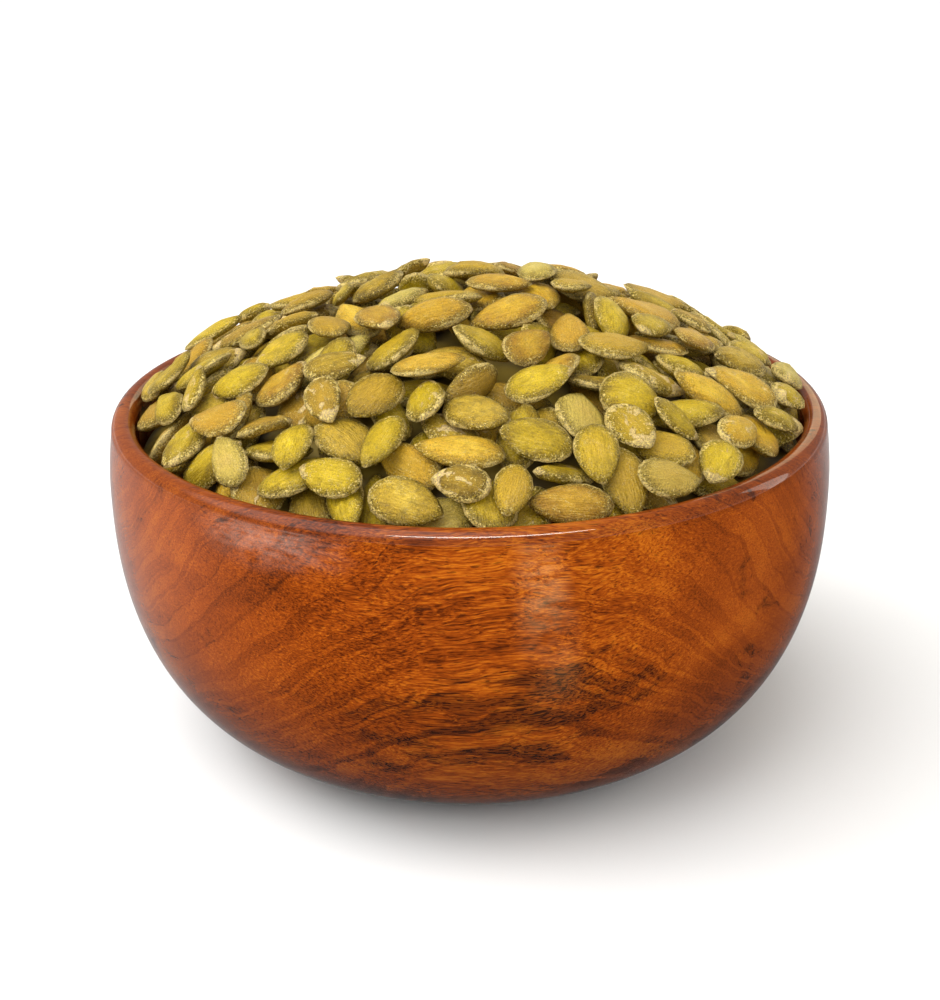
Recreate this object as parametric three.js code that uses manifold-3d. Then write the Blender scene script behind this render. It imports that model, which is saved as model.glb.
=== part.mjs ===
// A turned wooden bowl heaped with shelled, roasted pumpkin seeds.
//
// Millimetres, +Z up. The origin is the centre of the bowl's flat foot, so the bowl stands on z = 0
// and every ring of it is round about the Z axis. Two solids make up the object:
//   bowl           the turned wood, one lathe profile from the foot over the round lip to the floor
//   pumpkin_seeds  the heap: a core that fills the bowl and domes above the lip, with the seeds
//                  that show lying on it and on each other, all fused into one uneven solid
import * as THREE from "three";
import { mergeVertices } from "three/addons/utils/BufferGeometryUtils.js";
import Module from "manifold-3d";

// --- the bowl ---
const BOWL_RADIUS = 70; // at the belly, the widest ring
const BOWL_HEIGHT = 67;
const BELLY_HEIGHT = 53;
const FOOT_RADIUS = 30.5; // the flat that it stands on
const LIP_OUTER_RADIUS = 69; // the wall leans in this little from the belly to the lip
const LIP_WIDTH = 4.6;
const LIP_RISE = 2.6; // height of the half-round on top of the wall
const WALL = 5; // thickness up the side
const FLOOR = 8; // thickness over the foot
const CURVE_WIDTH_POWER = 0.95; // powers of sine and cosine that shape the side between foot and belly
const CURVE_HEIGHT_POWER = 0.82;
const BOWL_SIDES = 64;
const SIDE_STEPS = 8;
const LIP_STEPS = 6;
const INSIDE_STEPS = 4;

// --- the heap ---
const GAP = 0.3; // clear space between the seeds and the wood
const HEAP_RADIUS = LIP_OUTER_RADIUS - LIP_WIDTH - GAP;
const HEAP_EDGE_HEIGHT = 65; // where the heap's outline meets the wall
const HEAP_RISE = 24.7; // from there to the crown
const HEAP_POWER = 0.81; // under 1 makes the shoulders full
const HEAP_LEAN = 0.01; // the heap stands a little higher on the +X side
const HEAP_UNEVEN = 0.7; // height of its broad humps and hollows
const CORE_DEPTH = 4.4; // how far the core lies below the outline
const CORE_SIDES = 32;
const CORE_RINGS = 7;

// --- the seeds ---
const SEED_COUNT = 198; // the most that are laid
const SEED_TRIES = 1500; // the most spots that are tried for them
const SEED_LENGTH = 14;
const SEED_WIDTH = 8.8;
const SEED_THICKNESS = 3;
const SEED_VARIES = 0.11; // share by which each size varies either way
const SEED_EGG = 0.16; // how much wider the blunt half is than the tip half
const SEED_BLUNT = 0.72; // power that squares off the blunt end
const SEED_RIDGE_SIDES = 4; // corners of the raised flat; the outline has twice as many
const SEED_RIDGE_REACH = 0.6; // of the way from the middle to the outline
const SEED_TILT = 0.3; // radians that a seed may lean from the slope below it
const SEED_SINK = 0.8; // how deep each seed is fused into what it lies on
const SPOTS_TRIED = 60; // places compared for each seed, of which the lowest is filled
const POSES_TRIED = 160; // ways of lying compared there, of which the lowest is kept
const POSE_SPREAD = 3; // how far from the spot they are centred, either way
const PROUD = 1.8; // how far a seed may stand above the heap's outline
const SPENT_REACH = 1.5; // how far round it a spot that takes no seed is given up
const SLIVER = 0.12; // facets that are off by less than this are merged after fusing
const CELL = 1; // spacing of the grid that holds the height of the heap so far

const wasm = await Module();
wasm.setup();

// Draws from 0 to 1 that are the same on every run.
function makeRandom(state) {
  return () => {
    state = (state + 0x6d2b79f5) | 0;
    let t = Math.imul(state ^ (state >>> 15), 1 | state);
    t = (t + Math.imul(t ^ (t >>> 7), 61 | t)) ^ t;
    return ((t ^ (t >>> 14)) >>> 0) / 4294967296;
  };
}

const random = makeRandom(20);
const between = (low, high) => low + (high - low) * random();
const steps = (count) => Array.from({ length: count + 1 }, (_, i) => i / count);

// The outside of the bowl's side at turn t, from the foot (0) to the belly (1): a quarter of a
// superellipse, so it leaves the foot flat and reaches the belly upright.
function sidePoint(t) {
  const a = (t * Math.PI) / 2;
  const out = Math.sin(a) ** CURVE_WIDTH_POWER;
  const up = 1 - Math.max(Math.cos(a), 0) ** CURVE_HEIGHT_POWER;
  return new THREE.Vector2(FOOT_RADIUS + (BOWL_RADIUS - FOOT_RADIUS) * out, BELLY_HEIGHT * up);
}

// The inside of the side: the outside moved in along its normal, by a thickness that goes from the
// floor's to the wall's.
function insidePoint(t) {
  const small = 1e-3;
  const ahead = sidePoint(Math.min(t + small, 1));
  const along = ahead.sub(sidePoint(Math.max(t - small, 0))).normalize();
  const thickness = FLOOR + (WALL - FLOOR) * t;
  return sidePoint(t).add(new THREE.Vector2(-along.y, along.x).multiplyScalar(thickness));
}

// The bowl's whole profile, from the middle of the foot round to the middle of the floor.
function bowlProfile() {
  const lipHeight = BOWL_HEIGHT - LIP_RISE;
  const lipMiddle = LIP_OUTER_RADIUS - LIP_WIDTH / 2;
  const side = steps(SIDE_STEPS).map(sidePoint);
  const lip = steps(LIP_STEPS).map((t) => {
    const a = t * Math.PI;
    const half = LIP_WIDTH / 2;
    return new THREE.Vector2(lipMiddle + half * Math.cos(a), lipHeight + LIP_RISE * Math.sin(a));
  });
  const inside = steps(INSIDE_STEPS).map((t) => insidePoint(1 - t));
  return [new THREE.Vector2(0, 0), ...side, ...lip, ...inside, new THREE.Vector2(0, FLOOR)];
}

// A profile of radius and height turned about the Z axis.
function turned(profile, sides) {
  return new THREE.LatheGeometry(profile, sides).rotateX(Math.PI / 2);
}

// The heap's outline above the point (x, y): a dome with full shoulders, leaning a little, with
// broad humps and hollows.
function heapHeight(x, y) {
  const share = Math.min(Math.hypot(x, y) / HEAP_RADIUS, 1);
  const dome = HEAP_RISE * (1 - share * share) ** HEAP_POWER;
  const humps = Math.sin(x / 13 + 0.6) * Math.cos(y / 11 - 0.4) + 0.6 * Math.sin((x - y) / 8);
  return HEAP_EDGE_HEIGHT + dome + HEAP_LEAN * x + HEAP_UNEVEN * humps * (1 - share ** 4);
}

// The core: it fills the bowl to a gap from the wood, and its top follows the heap's outline
// at CORE_DEPTH below it.
function coreGeometry() {
  const inside = steps(INSIDE_STEPS).map((t) => insidePoint(t));
  const below = inside.map((p) => new THREE.Vector2(Math.min(p.x, HEAP_RADIUS) - GAP, p.y + GAP));
  const top = steps(CORE_RINGS).map(
    (t) => new THREE.Vector2(HEAP_RADIUS * Math.cos((t * Math.PI) / 2), BOWL_HEIGHT),
  );
  top[0].x -= GAP;
  const floor = new THREE.Vector2(0, FLOOR + GAP);
  top[CORE_RINGS].x = 0;
  const geometry = turned([floor, ...below, ...top], CORE_SIDES);
  const at = geometry.getAttribute("position");
  for (let i = 0; i < at.count; i++) {
    if (at.getZ(i) < BOWL_HEIGHT - 1e-3) continue;
    at.setZ(i, heapHeight(at.getX(i), at.getY(i)) - CORE_DEPTH);
  }
  return geometry;
}

// One seed lying flat with its tip towards +X: an egg-shaped outline at mid thickness, a raised
// flat above it and a point below it.
function seedGeometry(length, width, thickness) {
  const around = 2 * SEED_RIDGE_SIDES;
  const corner = (i, reach, height) => {
    const a = (i / around) * 2 * Math.PI;
    const along = Math.cos(a);
    const x = along < 0 ? -(Math.abs(along) ** SEED_BLUNT) : along;
    const y = Math.sin(a) * (1 - SEED_EGG * along);
    return [(reach * x * length) / 2, (reach * y * width) / 2, height];
  };
  const points = [];
  for (let i = 0; i < around; i++) points.push(...corner(i, 1, 0));
  for (let i = 0; i < around; i += 2) points.push(...corner(i, SEED_RIDGE_REACH, thickness / 2));
  points.push(0, 0, -thickness / 2);
  const ridge = (k) => around + (k % SEED_RIDGE_SIDES);
  const below = around + SEED_RIDGE_SIDES;
  const faces = [];
  for (let k = 0; k < SEED_RIDGE_SIDES; k++) {
    const [a, b, c] = [2 * k, 2 * k + 1, (2 * k + 2) % around];
    faces.push(a, b, ridge(k), b, ridge(k + 1), ridge(k), b, c, ridge(k + 1));
    faces.push(b, a, below, c, b, below);
    if (k > 1) faces.push(ridge(0), ridge(k - 1), ridge(k));
  }
  const geometry = new THREE.BufferGeometry();
  geometry.setAttribute("position", new THREE.Float32BufferAttribute(points, 3));
  return geometry.setIndex(faces);
}

// The height of the heap so far, on a square grid of cells over the bowl. Outside the heap's
// radius it is endless, so nothing is laid across the wood.
class HeightGrid {
  constructor() {
    this.side = Math.ceil((2 * BOWL_RADIUS) / CELL) + 1;
    this.heights = new Float64Array(this.side * this.side).fill(Infinity);
    this.spent = new Set();
    for (let x = -HEAP_RADIUS; x <= HEAP_RADIUS; x += CELL) {
      for (let y = -HEAP_RADIUS; y <= HEAP_RADIUS; y += CELL) {
        if (Math.hypot(x, y) > HEAP_RADIUS) continue;
        this.heights[this.index(x, y)] = heapHeight(x, y) - CORE_DEPTH;
      }
    }
  }

  index(x, y) {
    const column = Math.round((x + BOWL_RADIUS) / CELL);
    const row = Math.round((y + BOWL_RADIUS) / CELL);
    return row * this.side + column;
  }

  at(x, y) {
    return Math.hypot(x, y) > HEAP_RADIUS ? Infinity : this.heights[this.index(x, y)];
  }

  // Marks the cells round a spot where no seed can be laid low enough, so that it isn't tried again.
  giveUp(spot) {
    for (let dx = -SPENT_REACH; dx <= SPENT_REACH; dx += CELL) {
      for (let dy = -SPENT_REACH; dy <= SPENT_REACH; dy += CELL) {
        this.spent.add(this.index(spot.x + dx, spot.y + dy));
      }
    }
  }

  // Raises the cells that a seed covers to its upper side.
  cover(seed) {
    const along = new THREE.Vector3(1, 0, 0).applyQuaternion(seed.turn);
    const across = new THREE.Vector3(0, 1, 0).applyQuaternion(seed.turn);
    const up = new THREE.Vector3(0, 0, 1).applyQuaternion(seed.turn);
    const reach = seed.size.x / 2;
    for (let dx = -reach; dx <= reach; dx += CELL) {
      for (let dy = -reach; dy <= reach; dy += CELL) {
        const offset = new THREE.Vector3(dx, dy, -(up.x * dx + up.y * dy) / up.z);
        const u = (2 * offset.dot(along)) / seed.size.x;
        const v = (2 * offset.dot(across)) / seed.size.y;
        const inside = 1 - u * u - v * v;
        if (inside < 0) continue;
        const i = this.index(seed.x + dx, seed.y + dy);
        const top = seed.height + offset.z + ((seed.size.z / 2) * Math.sqrt(inside)) / up.z;
        this.heights[i] = Math.max(this.heights[i], top);
      }
    }
  }
}

// Points spread over a seed's oval as [share of half length, share of half width, share of half
// thickness there], for feeling what it rests on and how high it stands.
function ovalPoints(rings, around) {
  const points = [[0, 0, 1]];
  for (let ring = 1; ring <= rings; ring++) {
    const reach = ring / rings;
    for (let i = 0; i < around; i++) {
      const a = (i / around) * 2 * Math.PI;
      points.push([reach * Math.cos(a), reach * Math.sin(a), Math.sqrt(1 - reach * reach)]);
    }
  }
  return points;
}

const FEELERS = ovalPoints(3, 12);

// The upward direction of the heap's outline at (x, y).
function slopeNormal(x, y) {
  const d = 1;
  const dx = (heapHeight(x + d, y) - heapHeight(x - d, y)) / (2 * d);
  const dy = (heapHeight(x, y + d) - heapHeight(x, y - d)) / (2 * d);
  return new THREE.Vector3(-dx, -dy, 1).normalize();
}

// A turn that lays a seed on the slope with a random heading and a random lean.
function randomTurn(x, y) {
  const up = slopeNormal(x, y);
  const onSlope = new THREE.Quaternion().setFromUnitVectors(new THREE.Vector3(0, 0, 1), up);
  const heading = between(0, 2 * Math.PI);
  const lean = new THREE.Euler(
    between(-SEED_TILT, SEED_TILT),
    between(-SEED_TILT, SEED_TILT),
    heading,
    "ZXY",
  );
  return onSlope.multiply(new THREE.Quaternion().setFromEuler(lean));
}

// Where each of the given oval points of a seed is, relative to its middle, on the side of the
// seed that faces down (-1) or up (1).
function turnedPoints(points, size, turn, facing) {
  return points.map(([u, v, w]) =>
    new THREE.Vector3((u * size.x) / 2, (v * size.y) / 2, (facing * w * size.z) / 2).applyQuaternion(
      turn,
    ),
  );
}

// The middle's height at which a seed dropped at (x, y) first touches the heap.
function restingHeight(grid, x, y, size, turn) {
  let height = -Infinity;
  for (const p of turnedPoints(FEELERS, size, turn, -1)) {
    height = Math.max(height, grid.at(x + p.x, y + p.y) - p.z);
  }
  return height;
}

// How far the highest part of a seed's upper side stands above the heap's outline.
function highestAbove(x, y, height, size, turn) {
  let above = -Infinity;
  for (const p of turnedPoints(FEELERS, size, turn, 1)) {
    above = Math.max(above, height + p.z - heapHeight(x + p.x, y + p.y));
  }
  return above;
}

// Of several random spots, the one that lies deepest below the heap's outline and isn't spent.
function lowestSpot(grid) {
  let best = null;
  for (let i = 0; i < SPOTS_TRIED; i++) {
    const radius = (HEAP_RADIUS - SEED_WIDTH / 2) * Math.sqrt(random());
    const heading = between(0, 2 * Math.PI);
    const [x, y] = [radius * Math.cos(heading), radius * Math.sin(heading)];
    const depth = heapHeight(x, y) - grid.at(x, y);
    if (grid.spent.has(grid.index(x, y))) continue;
    if (!best || depth > best.depth) best = { x, y, depth };
  }
  return best;
}

// Lays one seed, of several random ways of lying near a low spot the lowest, or none where even
// that would stand too high.
function laySeed(grid) {
  const spot = lowestSpot(grid);
  if (!spot) return null;
  const vary = () => between(1 - SEED_VARIES, 1 + SEED_VARIES);
  const size = new THREE.Vector3(
    SEED_LENGTH * vary(),
    SEED_WIDTH * vary(),
    SEED_THICKNESS * vary(),
  );
  let best = null;
  for (let i = 0; i < POSES_TRIED; i++) {
    const x = spot.x + between(-POSE_SPREAD, POSE_SPREAD);
    const y = spot.y + between(-POSE_SPREAD, POSE_SPREAD);
    const turn = randomTurn(x, y);
    const height = restingHeight(grid, x, y, size, turn);
    if (height === Infinity) continue;
    const above = highestAbove(x, y, height, size, turn);
    if (!best || above < best.above) best = { x, y, height, above, turn, size };
  }
  if (!best || best.above > PROUD + SEED_SINK) {
    grid.giveUp(spot);
    return null;
  }
  best.height -= SEED_SINK;
  grid.cover(best);
  return best;
}

// A closed geometry as a solid that can be joined.
function solidOf(geometry) {
  const bare = geometry.index ? geometry.toNonIndexed() : geometry.clone();
  bare.deleteAttribute("normal");
  bare.deleteAttribute("uv");
  const merged = mergeVertices(bare, 1e-3);
  return new wasm.Manifold(
    new wasm.Mesh({
      numProp: 3,
      vertProperties: merged.getAttribute("position").array,
      triVerts: new Uint32Array(merged.index.array),
    }),
  );
}

// A joined solid as a geometry.
function geometryOf(solid) {
  const mesh = solid.getMesh();
  const points = new Float32Array(mesh.numVert * 3);
  for (let i = 0; i < mesh.numVert; i++) {
    const from = i * mesh.numProp;
    points.set(mesh.vertProperties.subarray(from, from + 3), i * 3);
  }
  const geometry = new THREE.BufferGeometry();
  geometry.setAttribute("position", new THREE.BufferAttribute(points, 3));
  geometry.setIndex(new THREE.BufferAttribute(mesh.triVerts, 1));
  geometry.computeVertexNormals();
  return geometry;
}

// The heap: the core and all its seeds in one, without any scrap that touches nothing.
function heapGeometry() {
  const grid = new HeightGrid();
  const solids = [solidOf(coreGeometry())];
  for (let i = 0; i < SEED_TRIES && solids.length <= SEED_COUNT; i++) {
    const seed = laySeed(grid);
    if (!seed) continue;
    const shape = seedGeometry(seed.size.x, seed.size.y, seed.size.z);
    shape.applyQuaternion(seed.turn).translate(seed.x, seed.y, seed.height);
    solids.push(solidOf(shape));
  }
  const bodies = wasm.Manifold.union(solids).simplify(SLIVER).decompose();
  bodies.sort((a, b) => b.volume() - a.volume());
  return geometryOf(bodies[0]);
}

const part = new THREE.Group();

const bowl = new THREE.Mesh(
  turned(bowlProfile(), BOWL_SIDES),
  new THREE.MeshStandardMaterial({ color: 0x8a3f1c, roughness: 0.22, metalness: 0 }),
);
bowl.name = "bowl";
part.add(bowl);

const seeds = new THREE.Mesh(
  heapGeometry(),
  new THREE.MeshStandardMaterial({ color: 0x8f8a35, roughness: 0.55, metalness: 0 }),
);
seeds.name = "pumpkin_seeds";
part.add(seeds);

export default part;
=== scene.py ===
import math

import bpy
import numpy as np
from mathutils import Matrix, Vector


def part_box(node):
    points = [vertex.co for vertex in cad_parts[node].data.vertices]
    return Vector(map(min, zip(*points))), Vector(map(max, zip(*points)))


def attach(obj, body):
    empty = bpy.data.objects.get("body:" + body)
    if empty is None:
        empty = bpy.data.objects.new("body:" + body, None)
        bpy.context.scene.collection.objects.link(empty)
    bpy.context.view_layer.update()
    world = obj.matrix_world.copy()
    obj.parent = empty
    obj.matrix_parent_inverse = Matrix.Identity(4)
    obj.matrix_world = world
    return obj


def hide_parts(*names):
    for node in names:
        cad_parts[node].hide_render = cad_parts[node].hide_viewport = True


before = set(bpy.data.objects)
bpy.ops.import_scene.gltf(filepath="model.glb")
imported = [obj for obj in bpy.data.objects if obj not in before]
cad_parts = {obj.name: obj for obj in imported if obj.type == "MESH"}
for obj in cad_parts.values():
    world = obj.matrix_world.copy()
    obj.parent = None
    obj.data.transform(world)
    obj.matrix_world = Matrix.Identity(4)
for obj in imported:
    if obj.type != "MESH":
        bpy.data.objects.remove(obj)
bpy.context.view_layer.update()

MM = 0.001

# --- the bowl ---
BOWL_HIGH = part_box("bowl")[1]
BELLY_RADIUS = BOWL_HIGH.x
RIM_HEIGHT = BOWL_HIGH.z
BELLY_HEIGHT = 53 * MM
FOOT_RADIUS = 30.5 * MM
LIP_OUTER_RADIUS = 69 * MM
LIP_WIDTH = 4.6 * MM
LIP_RISE = 2.6 * MM
WALL = 5 * MM
FLOOR = 8 * MM
CURVE_WIDTH_POWER = 0.95  # powers of sine and cosine that shape the side from foot to belly
CURVE_HEIGHT_POWER = 0.82
LEAN_POWER = 1.8  # of the curve by which the side leans in above the belly
BOWL_SIDES = 256
FOOT_POINTS = 7  # points of each stretch of its profile
SIDE_POINTS = 56
LEAN_POINTS = 7
LIP_POINTS = 25
INSIDE_POINTS = 30

# --- the heap ---
GAP = 0.3 * MM  # clear space between the seeds and the wood
HEAP_RADIUS = LIP_OUTER_RADIUS - LIP_WIDTH - GAP
HEAP_EDGE_HEIGHT = 65 * MM  # where the heap's outline meets the wall
HEAP_RISE = 24.7 * MM  # from there to the crown
HEAP_POWER = 0.81  # under 1 makes the shoulders full
HEAP_LEAN = 0.01  # the heap stands a little higher on the +X side
HEAP_UNEVEN = 0.7 * MM  # height of its broad humps and hollows
HUMP_LENGTHS = (13 * MM, 11 * MM, 8 * MM)  # of their waves along X, along Y and aslant, over 2 pi
HUMP_PHASES = (0.6, -0.4)
SLANT_SHARE = 0.6  # height of the slanting waves against the others'
RIM_SWELL = 2.4 * MM  # how much higher the seeds pile against the lip
RIM_SWELL_POWER = 12
BED_DEPTH = 9.5 * MM  # how far below the outline the lowest seeds that are modelled lie
BED_SIDES = 96
BED_POINTS = (20, 22)  # points of its profile below and on top

# --- the seeds ---
SEED_LENGTH = 14 * MM
SEED_WIDTH = 8.6 * MM
SEED_THICKNESS = 3.8 * MM
SEED_VARIES = (0.09, 0.12, 0.12)  # spread of the seeds' lengths, widths and thicknesses
SEED_LIMITS = (0.78, 1.25)  # of how small and how large they come
SPOTS_TRIED = 70  # places compared for each seed, of which the lowest is filled
POSES_TRIED = 64  # ways of lying compared there, of which the lowest is kept
POSE_SPREAD = 2.8 * MM  # how far from the spot they lie
SKIN_POINTS = 130  # points of a seed's skin that are tried against the ground
ROLLS = (0.16, 0.65)  # usual turn of a seed about its length, off the ground, and a wild one's
PITCHES = (0.08, 0.20)  # the same about its width
WILD_SHARE = 0.28
LAYING = (  # tries, radius outside which they are made, how far a seed may stand proud, its size
    (4000, 0.0, 1.9 * MM, 1.0),
    (600, 0.0, 2.2 * MM, 0.84),
    (500, 54 * MM, 3.6 * MM, 0.92),
)
SPENT_REACH = 1.0 * MM  # how far round a spot that is full no other is tried
WALL_REACH = 0.2 * SEED_WIDTH  # how near the wall a spot may be
STEEPEST = 1  # slope of the ground that a seed follows
EDGE_WEIGHT = 0.5  # weight of a seed's highest point against its mean height
LIP_OVERLAP = 1.8 * MM  # how far a seed may reach over the inner edge of the lip
CELL = 0.5 * MM  # spacing of the grid that holds the heap's height so far
BLOCKED = 1.0  # height of the ground where no seed may lie
SEED_SIDES = 16  # corners of a seed's outline
SEED_RINGS = ((0.58, 1), (0.90, 1), (1.0, 0), (0.80, -1))  # (reach, side) of each ring
LENS_POWERS = (2.0, 0.62)  # of the curve of a seed's thickness from its middle to its edge
EGG_POWERS = (0.53, 0.74)  # of the curve of its half width, towards the blunt end and the tip
WAVINESS = 0.022  # spread of a seed's outline, as a share of its size
LUMPINESS = 0.045  # spread of its thickness
HOLLOWS = (0.0, 0.0, 0.22, 0.4)  # shares by which its middle may be dented
HOLLOW_REACH = 0.55
BEND = 0.28 * MM  # spread of the bend along it
CUP = 0.16 * MM  # and of the one across it
TWIST = 0.10  # and of the turn of its ends
BEND_LEVEL = 0.3  # square of the reach at which a bend moves nothing

random = np.random.default_rng(11)


# --- shared mesh and material code ---


def smoothed(mesh):
    """Every face of the mesh shades smoothly."""
    mesh.polygons.foreach_set("use_smooth", np.ones(len(mesh.polygons), bool))
    return mesh


def piece(name, points, faces, material):
    """A mesh piece at the origin, riding on the root body, with the given material."""
    mesh = bpy.data.meshes.new(name)
    mesh.from_pydata(points.reshape(-1, 3).tolist(), [], faces)
    mesh.validate()
    smoothed(mesh).update()
    mesh.materials.append(material)
    made = bpy.data.objects.new(name, mesh)
    bpy.context.scene.collection.objects.link(made)
    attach(made, "root")
    return made


def band_faces(rings, around):
    """Quads between each ring of `around` points and the next, facing right of the direction in
    which the rings go up when the points go round anticlockwise."""
    ring = np.arange(rings - 1)[:, None] * around
    here = np.arange(around)[None, :]
    after = (here + 1) % around
    quads = np.stack([ring + here, ring + after, ring + after + around, ring + here + around], -1)
    return quads.reshape(-1, 4)


def turned(profile, sides):
    """Points and outward faces of a profile of (radius, height) turned round Z. The profile starts
    and ends on the axis, where it closes in one point each."""
    angle = np.arange(sides) * (2 * np.pi / sides)
    radius, height = profile[1:-1, 0], profile[1:-1, 1]
    ring_points = np.stack(
        np.broadcast_arrays(
            radius[:, None] * np.cos(angle), radius[:, None] * np.sin(angle), height[:, None]
        ),
        -1,
    ).reshape(-1, 3)
    first, last = len(ring_points), len(ring_points) + 1
    poles = [[0, 0, profile[0, 1]], [0, 0, profile[-1, 1]]]
    here = np.arange(sides)
    after = (here + 1) % sides
    top = (len(radius) - 1) * sides
    faces = band_faces(len(radius), sides).tolist()
    faces += np.stack([after, here, np.full(sides, first)], -1).tolist()
    faces += np.stack([top + here, top + after, np.full(sides, last)], -1).tolist()
    return np.concatenate([ring_points, poles]), faces


class Value:
    """A number that varies over a surface: one output socket, with arithmetic that adds Math
    nodes to its material."""

    def __init__(self, finish, socket):
        self.finish = finish
        self.socket = socket

    def _math(self, operation, *numbers):
        return self.finish.node(
            "ShaderNodeMath", {"operation": operation}, dict(enumerate(numbers))
        )

    def __add__(self, other):
        return self._math("ADD", self, other)

    __radd__ = __add__

    def __sub__(self, other):
        return self._math("SUBTRACT", self, other)

    def __rsub__(self, other):
        return self._math("SUBTRACT", other, self)

    def __mul__(self, other):
        return self._math("MULTIPLY", self, other)

    __rmul__ = __mul__

    def __truediv__(self, other):
        return self._math("DIVIDE", self, other)

    def larger(self, other):
        return self._math("MAXIMUM", self, other)

    def root(self):
        return self._math("SQRT", self)

    def size(self):
        return self._math("ABSOLUTE", self)

    def clipped(self):
        return self.step(0.0, 1.0, "LINEAR")

    def step(self, low, high, curve="SMOOTHSTEP"):
        """0 where this is under low, 1 where it is over high, smooth between; low may be the
        larger, which turns it over."""
        return self.finish.node(
            "ShaderNodeMapRange",
            {"interpolation_type": curve, "clamp": True},
            {"Value": self, "From Min": low, "From Max": high},
        )


class Finish:
    """A material under construction."""

    def __init__(self, name):
        self.material = bpy.data.materials.new(name)
        self.material.use_nodes = True
        self.tree = self.material.node_tree
        self.tree.nodes.clear()

    def node(self, kind, settings=None, sockets=None, output=0):
        """Adds a node. settings are its properties, with a ramp's stops as {position: colour};
        sockets are values or links by name or number. Gives its output as a Value."""
        made = self.tree.nodes.new(kind)
        for key, setting in (settings or {}).items():
            if key == "stops":
                self._set_stops(made.color_ramp, setting)
            else:
                setattr(made, key, setting)
        for key, given in (sockets or {}).items():
            if isinstance(given, Value):
                self.tree.links.new(given.socket, made.inputs[key])
            else:
                made.inputs[key].default_value = given
        return Value(self, made.outputs[output])

    def _set_stops(self, ramp, stops):
        while len(ramp.elements) < len(stops):
            ramp.elements.new(0.5)
        for element, (position, colour) in zip(ramp.elements, sorted(stops.items())):
            element.position = position
            element.color = (*colour, 1.0)

    def ramp(self, value, stops):
        return self.node("ShaderNodeValToRGB", {"stops": stops}, {"Fac": value})

    def mix(self, factor, colour, other):
        """colour where factor is 0 and other where it is 1."""
        colour, other = (
            c if isinstance(c, Value) else (*c, 1.0) for c in (colour, other)
        )
        return self.node(
            "ShaderNodeMix",
            {"data_type": "RGBA"},
            {0: factor, 6: colour, 7: other},
            output=2,
        )

    def place(self):
        return self.node("ShaderNodeTexCoord", output=3)

    def moved(self, vector, by):
        """vector plus a fixed or varying vector."""
        return self.node("ShaderNodeVectorMath", {"operation": "ADD"}, {0: vector, 1: by})

    def scaled(self, vector, by):
        """vector times another, axis by axis."""
        return self.node("ShaderNodeVectorMath", {"operation": "MULTIPLY"}, {0: vector, 1: by})

    def spread(self, value):
        """A vector of one value three times."""
        return self.node("ShaderNodeCombineXYZ", None, {0: value, 1: value, 2: value})

    def axes(self, vector):
        parts = self.node("ShaderNodeSeparateXYZ", None, {0: vector})
        return [Value(self, socket) for socket in parts.socket.node.outputs]

    def noise(self, vector, scale, detail=2.0, rough=0.5, twist=0.0, output=0):
        return self.node(
            "ShaderNodeTexNoise",
            None,
            {
                "Vector": vector,
                "Scale": scale,
                "Detail": detail,
                "Roughness": rough,
                "Distortion": twist,
            },
            output,
        )

    def bumped(self, height, distance, strength=1.0, under=None):
        sockets = {"Height": height, "Distance": distance, "Strength": strength}
        if under is not None:
            sockets["Normal"] = under
        return self.node("ShaderNodeBump", None, sockets)

    def shaded(self, **sockets):
        """The finished material: a Principled shader with these sockets, named with _ for space."""
        named = {key.replace("_", " "): given for key, given in sockets.items()}
        return self.ended(self.node("ShaderNodeBsdfPrincipled", None, named))

    def ended(self, shader):
        """The finished material, with a shader as its surface."""
        end = self.tree.nodes.new("ShaderNodeOutputMaterial")
        self.tree.links.new(shader.socket, end.inputs["Surface"])
        return self.material


# --- the bowl ---


def side_profile(t):
    """(radius, height) of the bowl's outside at turn t, from the foot (0) to the belly (1): a
    quarter of a superellipse, radius by a power of sine and height by one minus one of cosine."""
    a = t * (np.pi / 2)
    out = np.sin(a) ** CURVE_WIDTH_POWER
    up = 1 - np.clip(np.cos(a), 0, 1) ** CURVE_HEIGHT_POWER
    return np.stack([FOOT_RADIUS + (BELLY_RADIUS - FOOT_RADIUS) * out, BELLY_HEIGHT * up], -1)


def inside_profile(t):
    """(radius, height) of the inside: the outside moved in along its normal by a thickness that
    goes evenly from the floor's to the wall's."""
    small = 1e-3
    along = side_profile(np.minimum(t + small, 1)) - side_profile(np.maximum(t - small, 0))
    along /= np.linalg.norm(along, axis=1, keepdims=True)
    normal = np.stack([-along[:, 1], along[:, 0]], -1)
    return side_profile(t) + normal * (FLOOR + (WALL - FLOOR) * t)[:, None]


def bowl_profile():
    """The bowl's whole profile: foot, side, a gentle lean in to the lip, the lip as half an
    ellipse, and the inside down to the floor."""
    lip_height = RIM_HEIGHT - LIP_RISE
    foot_radius = np.linspace(0, FOOT_RADIUS, FOOT_POINTS + 1)[:-1]
    foot = np.stack([foot_radius, np.zeros(FOOT_POINTS)], -1)
    side = side_profile(np.linspace(0, 1, SIDE_POINTS))
    s = np.linspace(0, 1, LEAN_POINTS + 2)[1:-1]
    lean = np.stack(
        [
            BELLY_RADIUS - (BELLY_RADIUS - LIP_OUTER_RADIUS) * s**LEAN_POWER,
            BELLY_HEIGHT + (lip_height - BELLY_HEIGHT) * s,
        ],
        -1,
    )
    a = np.linspace(0, np.pi, LIP_POINTS)
    half = LIP_WIDTH / 2
    lip = np.stack(
        [LIP_OUTER_RADIUS - half + half * np.cos(a), lip_height + LIP_RISE * np.sin(a)], -1
    )
    inside = inside_profile(np.linspace(1, 0, INSIDE_POINTS))
    return np.concatenate([foot, side, lean, lip, inside, [[0, FLOOR]]])


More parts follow.
